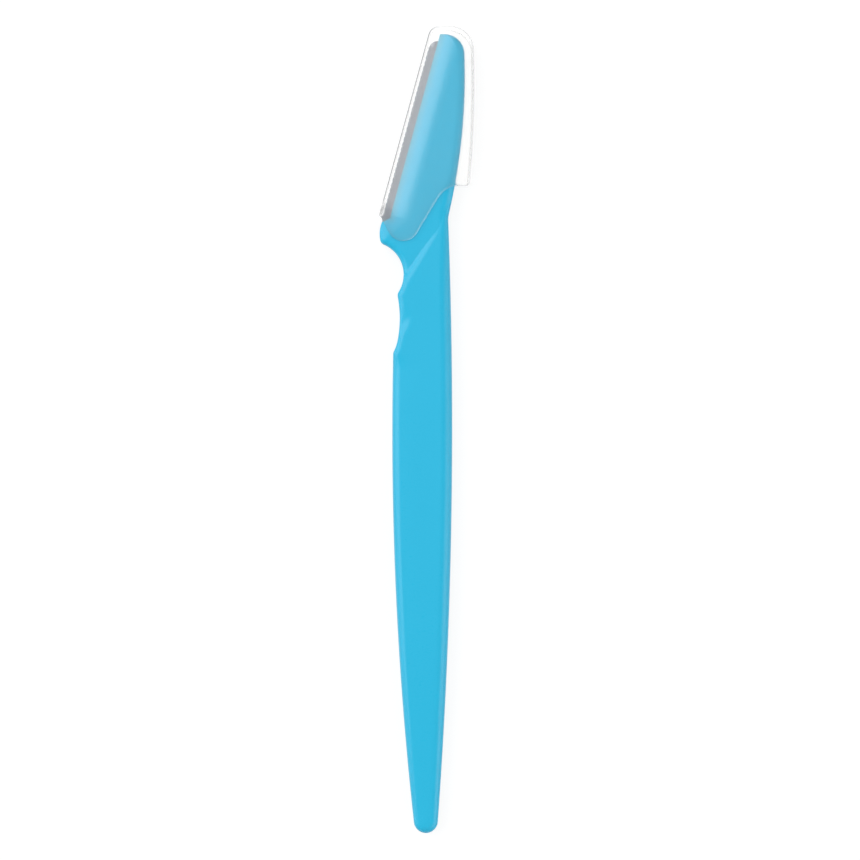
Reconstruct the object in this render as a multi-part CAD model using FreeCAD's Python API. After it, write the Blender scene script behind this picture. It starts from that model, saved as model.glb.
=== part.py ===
import FreeCAD, Part
import math
import os

os.makedirs("parts", exist_ok=True)

Vec = FreeCAD.Vector
UP = Vec(0, 0, 1)

# Millimetres throughout. The razor lies on its back: +Y runs from the tail to the head, +Z is up.

# Grip: lengths from the tail towards the head
grip_length = 91.1              # tail end to the corner below the lower finger notch
lower_notch_length = 11.1
upper_notch_length = 9.59
nose_length = 4.16              # foot of the nose to the heel of the blade
runout_length = 2.4             # slanted end of the lower notch
taper_length = 52.0             # stretch over which the tail gets thinner, above its round end
taper_spans = 10                # short straight spans that follow the tail's curves

# Grip: distances from the centre line, and bows of the sides off their chords
tail_left = 2.43                # at the start of the tail's round end
tail_right = 2.16
corner_reach = 6.33
runout_inset = 0.85
lip_inset = 0.75                # lip between the notches, in from the corner
nose_reach = 2.32               # foot of the nose, out from the corner
neck_reach = 4.11
left_bow = 1.49
right_bow = 1.59
lower_notch_bow = 0.44
upper_notch_bow = 2.58
nose_bow = 0.34

# Handle: thickness and rounding
handle_thickness = 5.0
tail_thickness = 3.0
grip_round_share = 0.40         # edge radius of the grip and the tail, of their thickness
neck_round_share = 0.28         # edge radius of the neck and head, of their thickness
tight_corner_share = 0.85       # the most that edge radius may be, of the tightest plan corner
round_blend_length = 3.5        # stretch below the corner where the edge radius changes
runout_corner = 1.1
lip_corner = 1.3
nose_corner = 1.15
neck_blend = 6.0

# Step from the grip down to the neck, and the scoop beside the lower notch
step_angle = 30.8               # slant of the step from the long axis, in degrees
step_rise = 9.04                # crossing of the step and the centre line, above the lip
neck_lap_share = 0.5            # of the step's height, by which the neck reaches into the grip
scoop_angle = 25.5              # slant of the scoop's crest from the long axis, in degrees
scoop_rise = 6.48               # inner tip of the scoop, above the corner
scoop_inset = 3.46              # inner tip of the scoop, in from the corner
scoop_length = 9.0
scoop_depth = 1.3               # at its outer end, past the edge
scoop_wall = 2.6                # run of its steep side there
scoop_stretch_share = 2.0       # size of the scoop's cutter, of the hollow below the face

# Head, in the blade's frame: run along the edge from the heel, depth in from the edge
heel_reach = 8.56
lean_angle = 15.3               # lean of the blade from the long axis, in degrees
heel_gap = 0.05                 # nose to the end of the blade
nose_inset = 0.12
edge_exposure = 1.42            # bare steel in front of the head's lip
lip_thickness = 1.3
bevel_run = 3.3
bevel_bow_share = 0.24          # swell of the bevel, of its drop
heel_runout_share = 1.5         # length of the bevel's run-out above the nose, of its drop
crown_rise = 0.90               # top of the head above the top of the blade
crown_width = 4.36
neck_rise = 0.85                # corner of the neck above the heel
spine_bow = 1.32
crown_corner = 3.8

# Blade and edge guard
blade_length = 35.9
blade_width = 5.2
blade_thickness = 0.2
grind_width = 0.7
blade_tip_corner = 1.5
blade_inset = 0.12              # cutting edge behind the nose of the guard
hole_diameter = 1.8
hole_depth_share = 0.66         # hole centres, of the blade's width
hole_shares = (0.22, 0.78)      # hole centres, of the blade's length
guard_sheet = 0.08
guard_width = 2.5
guard_heel_inset = 0.3
guard_tip_inset = 1.6
fold_bevel_share = 0.59         # bevels of the fold, of its half thickness
guard_pitch = 1.0
guard_slot = 0.22
guard_slot_depth = 0.45
insert_clearance = 0.02

# Cap
cap_wall = 0.55
cap_clearance = 0.12            # between the cap and each face of the head
edge_gap = 0.2                  # between the cap and the edge guard
cap_top_gap = 0.65
cap_top_wall = 0.85
cap_side_gap = 1.2              # beside the crown
cap_mouth_gap = 1.7             # beside the spine, at the mouth
cap_side_bow = 0.54
cap_heel_rise = 1.0             # foot of the edge wall, along the edge from the heel
cap_mouth_rise = 6.9            # foot of the spine wall, above the heel
cap_round = 0.4
cap_tip_corner = 2.0
cap_crown_corner = 4.6
cap_mouth_corner = 1.0
tongue_shoulder = 5.0           # radius where the mouth turns into the tongue
tongue_end = 3.0                # radius of the tongue's end
tongue_tip_drop = 7.0           # meeting point of the tongue's sides, below the heel
tongue_tip_inset = 3.84         # and in from the heel
tongue_lean = 31.2              # slant of the tongue's long side from the long axis, in degrees

overrun = 2.0                   # cutters run past the surface by this much

# Levels and radii that follow
middle = handle_thickness / 2
step_height = cap_wall + cap_clearance
head_bottom = step_height
head_top = handle_thickness - step_height
head_thickness = head_top - head_bottom
grip_round = grip_round_share * handle_thickness
neck_round = min(neck_round_share * head_thickness, tight_corner_share * min(nose_corner, lip_corner))
trim_reach = 2 * handle_thickness
neck_lap = neck_lap_share * step_height

# Stations that follow
lean = math.radians(lean_angle)
slant = math.radians(step_angle)
head_length = blade_length * math.cos(lean) + crown_rise
heel_station = grip_length + lower_notch_length + upper_notch_length + nose_length
total_length = heel_station + head_length + cap_top_gap + cap_top_wall
tail_y = -total_length / 2
tail_end_radius = (tail_left + tail_right) / 2
tail_end_y = tail_y + tail_end_radius
taper_y = tail_end_y + taper_length
corner_y = tail_y + grip_length
lip_y = corner_y + lower_notch_length
nose_y = lip_y + upper_notch_length
heel_y = tail_y + heel_station
crown_y = heel_y + head_length
cap_y = crown_y + cap_top_gap + cap_top_wall

# Directions in plan: along the blade and into the head, along the step and across it to the head
heel = Vec(-heel_reach, heel_y, 0)
along = Vec(math.sin(lean), math.cos(lean), 0)
inward = Vec(math.cos(lean), -math.sin(lean), 0)
step_along = Vec(math.sin(slant), math.cos(slant), 0)
step_across = Vec(-math.cos(slant), math.sin(slant), 0)
step_crossing = Vec(0, lip_y + step_rise, 0)


def at(run, depth, height=0):
    """Point at a run along the edge from its heel, a depth in from it and a height."""
    return heel + along * run + inward * depth + UP * height


# Plan corners of the handle, before rounding
tail_end_left = Vec(-tail_left, tail_end_y, 0)
tail_end_right = Vec(tail_right, tail_end_y, 0)
neck = Vec(neck_reach, heel_y + neck_rise, 0)
crown_run = (crown_y - at(0, edge_exposure).y) / math.cos(lean)
crown_front = at(crown_run, edge_exposure)
crown_back = crown_front + Vec(crown_width, 0, 0)
heel_inner = at(-heel_gap, edge_exposure)
heel_outer = at(-heel_gap, nose_inset)
nose = Vec(-corner_reach - nose_reach, nose_y, 0)
lip = Vec(lip_inset - corner_reach, lip_y, 0)
runout = Vec(runout_inset - corner_reach, corner_y + runout_length, 0)
corner = Vec(-corner_reach, corner_y, 0)


def line(start, end):
    return Part.LineSegment(start, end).toShape()


def bowed(start, end, bow, normal=UP):
    """Arc from start to end that stands off its chord by bow, to the left of travel round normal."""
    left = normal.cross(end - start).normalize()
    return Part.Arc(start, (start + end) / 2 + left * bow, end).toShape()


def leaving(start, end, direction):
    """Arc from start to end that leaves start in a plan direction."""
    chord = end - start
    turn = math.atan2(direction.cross(chord).z, direction.dot(chord))
    return bowed(start, end, -chord.Length / 2 * math.tan(turn / 2))


def polygon(points):
    """Straight edges round a list of points."""
    return [line(start, end) for start, end in zip(points, points[1:] + points[:1])]


def prism(edges, travel):
    """The face inside a closed loop of edges, swept along a straight travel."""
    return Part.Face(Part.Wire(edges)).extrude(travel)


def slab(edges, bottom, top):
    """A plan outline raised from bottom to top."""
    return prism(edges, UP * (top - bottom)).translated(UP * bottom)


def mirrored(shape):
    """The shape reflected in the middle plane of the razor."""
    return shape.mirror(UP * middle, UP)


def meeting(point, direction, other, other_direction):
    """Plan point where two straight lines meet."""
    across = Vec(-other_direction.y, other_direction.x, 0)
    return point + direction * ((other - point).dot(across) / direction.dot(across))


def at_level(side, y):
    """Point where a side of the plan crosses a level across the razor."""
    level = line(Vec(-total_length, y, 0), Vec(total_length, y, 0))
    distance, meetings, details = side.distToShape(level)
    return meetings[0][0]


def same(length, other):
    """Whether two lengths agree, apart from rounding in the arithmetic."""
    return math.isclose(length, other, rel_tol=1e-4)


def round_corners(solid, corners):
    """Round the upright edge that stands over each plan corner by the corner's radius."""
    for place, radius in corners:
        upright = [edge for edge in solid.Edges if edge.BoundBox.ZLength > edge.Length / 2]
        gaps = [math.dist(edge.CenterOfMass[:2], place[:2]) for edge in upright]
        solid = solid.makeFillet(radius, [upright[gaps.index(min(gaps))]])
    return solid


def steepness(face):
    """How far a face turns up or down at its centre: 0 for a wall, 1 for a level face."""
    first_u, last_u, first_v, last_v = face.ParameterRange
    return abs(face.normalAt((first_u + last_u) / 2, (first_v + last_v) / 2).z)


def round_rims(solid, radius_at):
    """Round the edges between walls and level faces. The radius follows radius_at from end to end,
    and an edge stays sharp where radius_at gives nothing for its centre."""
    rims = []
    for number, edge in enumerate(solid.Edges, 1):
        low, high = sorted(steepness(face) for face in solid.ancestorsOfType(edge, Part.Face))
        radius = radius_at(edge.CenterOfMass)
        if radius and low < 0.5 < high:
            rims.append((number, *[radius_at(edge.valueAt(end)) or radius for end in edge.ParameterRange]))
    document = FreeCAD.newDocument()
    blank = document.addObject("Part::Feature")
    blank.Shape = solid
    rounded = document.addObject("Part::Fillet")
    rounded.Base = blank
    rounded.Edges = rims
    document.recompute()
    result = rounded.Shape.copy()
    FreeCAD.closeDocument(document.Name)
    return result


def grip_left():
    """Long side of the grip under the blade, from the corner to the tail's end."""
    return bowed(corner, tail_end_left, -left_bow)


def grip_right():
    """Long side of the grip under the spine, from the tail's end to the neck."""
    return bowed(tail_end_right, neck, -right_bow)


def spine():
    """Bowed back of the head, from the neck to the crown."""
    return bowed(neck, crown_back, -spine_bow)


def handle_outline():
    """Plan of the moulding, up the spine side, over the crown and down the blade side."""
    lower_notch = bowed(lip, runout, lower_notch_bow)
    left_side = grip_left()
    blends = [left_side.getParameterByLength(count * round_blend_length) for count in (1, 2)]
    return [
        grip_right(),
        spine(),
        line(crown_back, crown_front),
        line(crown_front, heel_inner),
        line(heel_inner, heel_outer),
        bowed(heel_outer, nose, -nose_bow),
        bowed(nose, lip, upper_notch_bow),
        lower_notch,
        leaving(runout, corner, lower_notch.tangentAt(lower_notch.LastParameter)),
        *left_side.split(blends).Edges,
        line(tail_end_left, tail_end_right),
    ]


def step_prism(section):
    """A section across the step, as points (distance towards the head, height), run along the step."""
    start = step_crossing - step_along * total_length
    points = [start + step_across * distance + UP * height for distance, height in section]
    return prism(polygon(points), step_along * (2 * total_length))


def tail_section(station):
    """Rounded section across the tail, at a distance below the start of the taper."""
    drop = (handle_thickness - tail_thickness) / 2
    arc_radius = (taper_length ** 2 + drop ** 2) / (2 * drop)
    bottom = arc_radius - math.sqrt(arc_radius ** 2 - station ** 2)
    top = handle_thickness - bottom
    radius = grip_round_share * (top - bottom)
    y = taper_y - station
    left = at_level(grip_left(), y).x
    right = at_level(grip_right(), y).x
    corners = [(right, top), (left, top), (left, bottom), (right, bottom)]
    middles = [Vec(x, y, z) for x, z in corners]
    edges = []
    for number, place in enumerate(middles):
        to_last = (middles[number - 1] - place).normalize()
        to_next = (middles[(number + 1) % 4] - place).normalize()
        centre = place + (to_last + to_next) * radius
        halfway = centre - (to_last + to_next).normalize() * radius
        arc = Part.Arc(place + to_last * radius, halfway, place + to_next * radius).toShape()
        if edges:
            edges.append(line(edges[-1].Vertexes[-1].Point, arc.Vertexes[0].Point))
        edges.append(arc)
    edges.append(line(edges[-1].Vertexes[-1].Point, edges[0].Vertexes[0].Point))
    return Part.Wire(edges)


def tail(upper_end):
    """Tapering tail, from the wire at the end of the grip through smaller sections to a round end."""
    stations = [taper_length * number / taper_spans for number in range(1, taper_spans + 1)]
    sections = [tail_section(station) for station in stations]
    taper = Part.makeLoft([upper_end, *sections], True, True)
    centre = (tail_end_left + tail_end_right) / 2
    half_box = Part.makeBox(
        tail_end_radius, overrun, handle_thickness, centre - Vec(0, overrun / 2, 0)
    )
    half_section = Part.Face(sections[-1]).common(half_box)
    return taper.fuse(half_section.Faces[0].revolve(centre, -UP, 180))


def scoop():
    """Hollow that starts at a tip on the face and deepens out past the lower notch. Its steep side
    starts at its crest, and its gentle side at a line from the tip through the lip.
    The cutter is stretched from its lowest point, so that it stands clear above the face."""
    turn = math.radians(scoop_angle)
    outwards = Vec(-math.sin(turn), -math.cos(turn), 0)
    across = Vec(-math.cos(turn), math.sin(turn), 0)
    tip = Vec(scoop_inset - corner_reach, corner_y + scoop_rise, handle_thickness)
    crest = tip + outwards * scoop_length
    bottom = crest + across * scoop_wall - UP * scoop_depth
    rise = tip + Vec(lip.x - tip.x, lip.y - tip.y, 0) * scoop_stretch_share
    tip_high, crest_high, rise_high = [
        bottom + (point - bottom) * scoop_stretch_share for point in (tip, crest, rise)
    ]
    faces = [
        (tip_high, crest_high, rise_high),
        (tip_high, bottom, crest_high),
        (tip_high, rise_high, bottom),
        (crest_high, bottom, rise_high),
    ]
    shell = Part.Shell([Part.Face(Part.makePolygon([*face, face[0]])) for face in faces])
    solid = Part.Solid(shell)
    return solid if solid.Volume > 0 else solid.reversed()


def grip_radius(point):
    """Edge radius of the grip: full on the long sides, less round the notches, none at its ends."""
    if same((point - step_crossing).dot(step_across), trim_reach) or same(point.y, taper_y):
        return 0
    if point.x < 0 and point.y > corner_y - round_blend_length / 2:
        return neck_round
    return grip_round


def grip():
    """Full-thickness part of the moulding, which ends in a wedge inside the neck."""
    solid = slab(handle_outline(), 0, handle_thickness)
    solid = round_corners(solid, [
        (corner, runout_corner),
        (lip, lip_corner),
        (neck, neck_blend),
    ])
    far = total_length
    head_side = step_prism([
        (trim_reach, -overrun),
        (far, -overrun),
        (far, handle_thickness + overrun),
        (trim_reach, handle_thickness + overrun),
    ])
    reach = corner_reach + left_bow + overrun
    tail_side = Part.makeBox(
        2 * reach, taper_length + tail_end_radius, handle_thickness, Vec(-reach, tail_y, 0)
    )
    solid = round_rims(solid.cut(head_side).cut(tail_side), grip_radius)
    lower_end = min(solid.Faces, key=lambda face: face.CenterOfMass.y)
    solid = solid.fuse(tail(lower_end.OuterWire))
    beyond_step = step_prism([
        (-overrun, -overrun),
        (far, -overrun),
        (far, handle_thickness + overrun),
        (-overrun, handle_thickness + overrun),
        (middle, middle),
    ])
    return solid.cut(beyond_step).cut(scoop()).cut(mirrored(scoop()))


def bevel():
    """Space over the bevel between the head's lip and its flat, which runs out above the nose."""
    lip_level = middle + lip_thickness / 2
    drop = head_top - lip_level
    ceiling = head_top + overrun
    start = -heel_runout_share * (ceiling - lip_level)
    flat_depth = edge_exposure + bevel_run
    outer = at(start, -overrun, lip_level)
    edge = at(start, edge_exposure, lip_level)
    flat = at(start, flat_depth, head_top)
    flat_high = at(start, flat_depth, ceiling)
    outer_high = at(start, -overrun, ceiling)
    space = prism([
        line(outer, edge),
        bowed(edge, flat, bevel_bow_share * drop, -along),
        line(flat, flat_high),
        line(flat_high, outer_high),
        line(outer_high, outer),
    ], along * (crown_run + overrun - start))
    side = -overrun - overrun
    below_runout = polygon([
        at(0, side, lip_level),
        at(start, side, ceiling),
        at(start - overrun, side, ceiling),
        at(start - overrun, side, lip_level),
    ])
    return space.cut(prism(below_runout, inward * (flat_depth + overrun - side)))


def blade_slot():
    """Pocket for the blade and the guard's flanges, with posts left standing in the blade's holes."""
    blade_half = blade_thickness / 2 + insert_clearance
    guard_half = blade_half + guard_sheet + insert_clearance
    pockets = [
        (blade_half, blade_inset + blade_width + insert_clearance),
        (guard_half, guard_width + insert_clearance),
    ]
    first = -insert_clearance
    last = blade_length + insert_clearance
    cutters = []
    for half, depth in pockets:
        corners = [at(first, -overrun), at(last, -overrun), at(last, depth), at(first, depth)]
        cutters.append(slab(polygon(corners), middle - half, middle + half))
    pocket = cutters[0].fuse(cutters[1])
    for post in blade_holes(hole_diameter / 2 - insert_clearance):
        pocket = pocket.cut(post)
    return pocket


def neck_radius(point):
    """Edge radius of the neck and head. The lip, the top of the nose and the inner end stay sharp."""
    at_inner_end = same((point - step_crossing).dot(step_across), neck_lap)
    at_nose_top = same((point - heel).dot(along), -heel_gap)
    at_lip = same((point - heel).dot(inward), edge_exposure)
    return 0 if at_inner_end or at_nose_top or at_lip else neck_round


def head():
    """Thinner part of the moulding: the neck, the nose and the head with its bevels and blade slot."""
    solid = slab(handle_outline(), head_bottom, head_top)
    solid = round_corners(solid, [
        (neck, neck_blend),
        (crown_back, crown_corner),
        (nose, nose_corner),
    ])
    far = -2 * total_length
    grip_side = step_prism([
        (neck_lap, -overrun),
        (far, -overrun),
        (far, handle_thickness + overrun),
        (neck_lap, handle_thickness + overrun),
    ])
    solid = solid.cut(grip_side)
    solid = round_rims(solid, neck_radius)
    solid = solid.cut(bevel()).cut(mirrored(bevel()))
    return solid.cut(blade_slot())


def handle():
    """The one-piece moulding."""
    return grip().fuse(head())


def blade_holes(radius):
    """Upright cylinders through the places of the blade's holes."""
    depth = blade_inset + hole_depth_share * blade_width
    places = [at(share * blade_length, depth, -overrun) for share in hole_shares]
    return [Part.makeCylinder(radius, handle_thickness + 2 * overrun, place, UP) for place in places]


def blade():
    """Steel strip with an edge ground from both faces, a rounded tip and moulding holes."""
    half = blade_thickness / 2
    back = blade_inset + blade_width
    ground = blade_inset + grind_width
    section = [
        at(0, blade_inset, middle),
        at(0, ground, middle - half),
        at(0, back, middle - half),
        at(0, back, middle + half),
        at(0, ground, middle + half),
    ]
    solid = prism(polygon(section), along * blade_length)
    start = at(blade_length - blade_tip_corner, blade_inset)
    end = at(blade_length, blade_inset + blade_tip_corner)
    outside = at(blade_length + overrun, blade_inset - overrun)
    bow = blade_tip_corner * (1 - math.sqrt(0.5))
    tip = [bowed(start, end, bow), line(end, outside), line(outside, start)]
    solid = solid.cut(slab(tip, 0, handle_thickness))
    for hole in blade_holes(hole_diameter / 2):
        solid = solid.cut(hole)
    return solid


def edge_guard():
    """Thin strip folded over the cutting edge, with a row of slots across its fold."""
    inner = blade_thickness / 2 + insert_clearance
    outer = inner + guard_sheet
    first = guard_heel_inset
    length = blade_length - guard_heel_inset - guard_tip_inset
    layers = []
    for half in (outer, inner):
        nose = outer - half
        bevel_end = nose + fold_bevel_share * half
        nose_half = half - fold_bevel_share * half
        layers.append([
            (guard_width, half), (bevel_end, half), (nose, nose_half),
            (nose, -nose_half), (bevel_end, -half), (guard_width, -half),
        ])
    section = layers[0] + layers[1][::-1]
    points = [at(first, depth, middle + height) for depth, height in section]
    strip = prism(polygon(points), along * length)
    count = round((length - guard_slot) / guard_pitch)
    margin = (length - (count - 1) * guard_pitch - guard_slot) / 2
    slots = []
    for number in range(count):
        run = first + margin + number * guard_pitch
        corners = [
            at(run, -overrun), at(run + guard_slot, -overrun),
            at(run + guard_slot, guard_slot_depth), at(run, guard_slot_depth),
        ]
        slots.append(slab(polygon(corners), 0, handle_thickness))
    return strip.cut(Part.makeCompound(slots))


def cap_corners():
    """Plan corners of the cap, before rounding: foot of the edge wall, tip, crown, mouth, shoulder,
    end of the tongue, inner foot of the edge wall."""
    foot = at(cap_heel_rise, -edge_gap - cap_wall)
    tip = meeting(foot, along, Vec(0, cap_y, 0), Vec(1, 0, 0))
    crown = Vec(crown_back.x + cap_side_gap + cap_wall, cap_y, 0)
    mouth = at_level(spine(), heel_y + cap_mouth_rise) + Vec(cap_mouth_gap + cap_wall, 0, 0)
    tongue = heel + Vec(tongue_tip_inset, -tongue_tip_drop, 0)
    tongue_slant = math.radians(tongue_lean)
    tongue_side = Vec(math.sin(tongue_slant), math.cos(tongue_slant), 0)
    shoulder = meeting(tongue, tongue_side, mouth, Vec(1, 0, 0))
    inner_foot = at(cap_heel_rise - edge_gap, -edge_gap)
    return foot, tip, crown, mouth, shoulder, tongue, inner_foot


def cap_hollow(tip, crown, mouth):
    """Space inside the cap, which runs out past the mouth and the tongues."""
    ceiling = Vec(0, crown_y + cap_top_gap, 0)
    edge_side = at(0, -edge_gap)
    inner_tip = meeting(edge_side, along, ceiling, Vec(1, 0, 0))
    inner_crown = Vec(crown.x - cap_wall, ceiling.y, 0)
    inner_mouth = mouth - Vec(cap_wall, 0, 0)
    low_mouth = Vec(inner_mouth.x, heel_y - tongue_tip_drop - overrun, 0)
    low_edge = meeting(edge_side, along, low_mouth, Vec(1, 0, 0))
    outline = [
        line(low_edge, inner_tip),
        line(inner_tip, inner_crown),
        bowed(inner_crown, inner_mouth, cap_side_bow),
        line(inner_mouth, low_mouth),
        line(low_mouth, low_edge),
    ]
    solid = slab(outline, cap_wall, handle_thickness - cap_wall)
    return round_corners(solid, [
        (inner_tip, cap_tip_corner - cap_wall),
        (inner_crown, cap_crown_corner - cap_wall),
    ])


def cap():
    """Clear sleeve over the head, open at the mouth, with a tongue on each face."""
    foot, tip, crown, mouth, shoulder, tongue, inner_foot = cap_corners()
    outline = [
        line(foot, tip),
        line(tip, crown),
        bowed(crown, mouth, cap_side_bow),
        line(mouth, shoulder),
        line(shoulder, tongue),
        line(tongue, inner_foot),
        line(inner_foot, foot),
    ]
    solid = slab(outline, 0, handle_thickness)
    solid = round_corners(solid, [
        (tip, cap_tip_corner),
        (crown, cap_crown_corner),
        (mouth, cap_mouth_corner),
        (shoulder, tongue_shoulder),
        (tongue, tongue_end),
    ])
    solid = round_rims(solid, lambda point: cap_round)
    return solid.cut(cap_hollow(tip, crown, mouth))


if __name__ == "__main__":
    for name, make in (("handle", handle), ("blade", blade), ("edge_guard", edge_guard), ("cap", cap)):
        shape = make()
        shape.exportStep(f"parts/{name}.step")
        print(name, shape.isValid(), len(shape.Solids), round(shape.Volume, 2), len(shape.Faces))
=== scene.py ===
import math

import bmesh
import bpy
import numpy as np
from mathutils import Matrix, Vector


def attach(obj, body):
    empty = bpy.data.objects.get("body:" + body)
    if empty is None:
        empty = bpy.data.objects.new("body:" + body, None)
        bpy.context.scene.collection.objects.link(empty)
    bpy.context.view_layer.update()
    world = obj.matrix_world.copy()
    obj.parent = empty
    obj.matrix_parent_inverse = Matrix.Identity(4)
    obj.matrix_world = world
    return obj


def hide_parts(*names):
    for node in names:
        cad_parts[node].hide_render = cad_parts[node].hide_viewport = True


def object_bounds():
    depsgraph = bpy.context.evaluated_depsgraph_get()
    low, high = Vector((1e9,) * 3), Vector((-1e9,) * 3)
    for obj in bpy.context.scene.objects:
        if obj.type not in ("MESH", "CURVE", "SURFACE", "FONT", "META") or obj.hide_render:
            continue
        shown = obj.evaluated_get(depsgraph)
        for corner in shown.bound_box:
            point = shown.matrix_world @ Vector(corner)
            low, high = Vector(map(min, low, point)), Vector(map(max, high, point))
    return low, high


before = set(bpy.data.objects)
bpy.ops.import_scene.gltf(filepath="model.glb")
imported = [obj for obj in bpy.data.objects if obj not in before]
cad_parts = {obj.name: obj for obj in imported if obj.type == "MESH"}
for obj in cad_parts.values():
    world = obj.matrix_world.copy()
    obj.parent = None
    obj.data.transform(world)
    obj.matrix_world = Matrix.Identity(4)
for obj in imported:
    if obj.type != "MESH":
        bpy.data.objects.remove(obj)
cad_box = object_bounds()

# The frame is in metres: +Y from tail to head, +X from blade to spine, +Z up out of the shown face.
# Sizes below are in millimetres, and plan points are (x, y) in the frame.
MM = 0.001

# The photograph's frame, in its pixels, and where the middle of the razor lies in it
PHOTO_SIDE = 860
PHOTO_PIXELS_PER_MM = 5.271
PHOTO_MIDDLE = (426.55, 429.75)

# Levels along the handle: its corner below the lower notch, the ridge between the notches, the nose
# above the upper notch, and the blade's heel
TAIL_Y = cad_box[0][1] / MM
GRIP_LENGTH = 91.1
LOWER_NOTCH_LENGTH = 11.1
UPPER_NOTCH_LENGTH = 9.59
NOSE_LENGTH = 4.16
CORNER_Y = TAIL_Y + GRIP_LENGTH
RIDGE_Y = CORNER_Y + LOWER_NOTCH_LENGTH
NOSE_Y = RIDGE_Y + UPPER_NOTCH_LENGTH
HEEL_Y = NOSE_Y + NOSE_LENGTH

# Thickness and rounding of the handle
HALF_GRIP = 2.5
HALF_TAIL = 1.5
HALF_HEAD = 1.83
TAPER_LENGTH = 52.0
GRIP_ROUND_SHARE = 0.80         # depth of the grip's rounded edge on its spine, of its half thickness
BLADE_ROUND_SHARE = 0.58        # the same on its blade side
NECK_ROUND = 0.978
ROUND_BLEND = 3.5               # stretch below the corner where the rounded edge changes
NECK_ROUND_BLEND = 5.0          # stretch past the step where the spine's rounded edge changes
BLADE_RIM_SHARE = 0.95          # breadth of the grip's rounded edge on the blade side, of its depth
SPINE_RIM_SHARE = 1.15
NOTCH_RIM_SHARE = 1.2
HEAD_RIM_SHARE = 1.6
CAMBER_DEPTH = 0.55             # faint extra fall of the grip's face towards its blade side
CAMBER_BREADTH = 5.0

# Blade frame: run along the edge from its heel, depth in from the edge
LEAN = math.radians(15.3)
ALONG = np.array((math.sin(LEAN), math.cos(LEAN)))
INWARD = np.array((math.cos(LEAN), -math.sin(LEAN)))
HEEL_X = -8.56
HEEL = np.array((HEEL_X, HEEL_Y))
HEEL_GAP = 0.05
HEEL_COVER = 1.0                # how far the moulding reaches up the lip over the blade's heel
BLADE_LENGTH = 35.9

# Head: its lip along the blade, its bevel, the slope above the nose, and its crown
LIP_DEPTH = 1.42
LIP_HALF = 0.65                 # half thickness of the head along its lip
LIP_SHEEN_REACH = 1.3            # how far in from the lip a paler blue is painted, a painted sheen
BEVEL_RUN = 4.2
NOSE_INSET = 0.12
NOSE_RUN_SHARE = 3.5            # run of the nose's slope down from the heel, of its rise
NOSE_RISE_SHARE = 0.4           # its rise in from the blade's edge, of its run
NOSE_CREASE = 0.5               # how softly that slope turns into the flat
CROWN_RISE = 0.90               # from the end of the blade up to the crown
CROWN_WIDTH = 4.36
CROWN_Y = HEEL_Y + BLADE_LENGTH * math.cos(LEAN) + CROWN_RISE

# Step from the grip down to the neck
STEP_RISE = 9.04                # from the ridge up to where the step crosses the middle line
STEP_SLANT = math.radians(30.8)
STEP_CROSSING = np.array((0.0, RIDGE_Y + STEP_RISE))
STEP_ROUND = 1.9                # radius of the step's rounded edge
STEP_CREST = 0.85               # start of that edge, before the crossing
STEP_FOOT = 0.1                 # how softly the step's foot turns
STEP_SINK_START = 6.0           # along the step before the crossing, where the grip starts to sink
STEP_SINK_RUN = 12.5            # stretch over which it sinks to the level of the neck

# Dent beside the lower notch
DENT_TIP_X = -2.87
DENT_TIP_RISE = 6.48            # from the corner up to the tip
DENT_TIP = np.array((DENT_TIP_X, CORNER_Y + DENT_TIP_RISE))
DENT_SLANT = math.radians(25.5)
DENT_DROP_SHARE = 0.45          # fall of the dent's steep side, of its run
DENT_FLOOR_SHARE = 0.22         # fall of its gentle side
DENT_CREST = 0.15
DENT_VALLEY = 0.3

# Plan points of the handle
TAIL_X = -0.135
TAIL_RADIUS = 2.295
TAIL_CENTRE = np.array((TAIL_X, TAIL_Y + TAIL_RADIUS))
TAIL_LEFT = TAIL_CENTRE - (TAIL_RADIUS, 0.0)
TAIL_RIGHT = TAIL_CENTRE + (TAIL_RADIUS, 0.0)
CORNER_X = -6.33
CORNER = np.array((CORNER_X, CORNER_Y))
NOTCH_START_X = -5.48
NOTCH_START_RISE = 2.4
NOTCH_START = np.array((NOTCH_START_X, CORNER_Y + NOTCH_START_RISE))
RIDGE_X = -5.58
RIDGE = np.array((RIDGE_X, RIDGE_Y))
NOSE_X = -8.65
NOSE = np.array((NOSE_X, NOSE_Y))
HEEL_OUTER = HEEL - HEEL_GAP * ALONG + NOSE_INSET * INWARD
HEEL_INNER = HEEL + HEEL_COVER * ALONG + LIP_DEPTH * INWARD
NECK_X = 4.11
NECK_RISE = 0.85
NECK = np.array((NECK_X, HEEL_Y + NECK_RISE))
LIP_START = HEEL + LIP_DEPTH * INWARD
CROWN_FRONT = LIP_START + ALONG * (CROWN_Y - LIP_START[1]) / math.cos(LEAN)
CROWN_BACK = CROWN_FRONT + (CROWN_WIDTH, 0.0)

# How far the arcs between these points stand off their chords, to the left of travel
GRIP_BOW = 1.49
LOWER_NOTCH_BOW = -0.44
UPPER_NOTCH_BOW = -2.58
NOSE_BOW = 0.34
SPINE_BOW = -1.59
HEAD_BOW = -1.32

# Rounds where they meet
CORNER_ROUND = 1.1
RIDGE_ROUND = 1.3
NOSE_ROUND = 1.15
NECK_CORNER_ROUND = 6.0
CROWN_ROUND = 3.8

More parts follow.
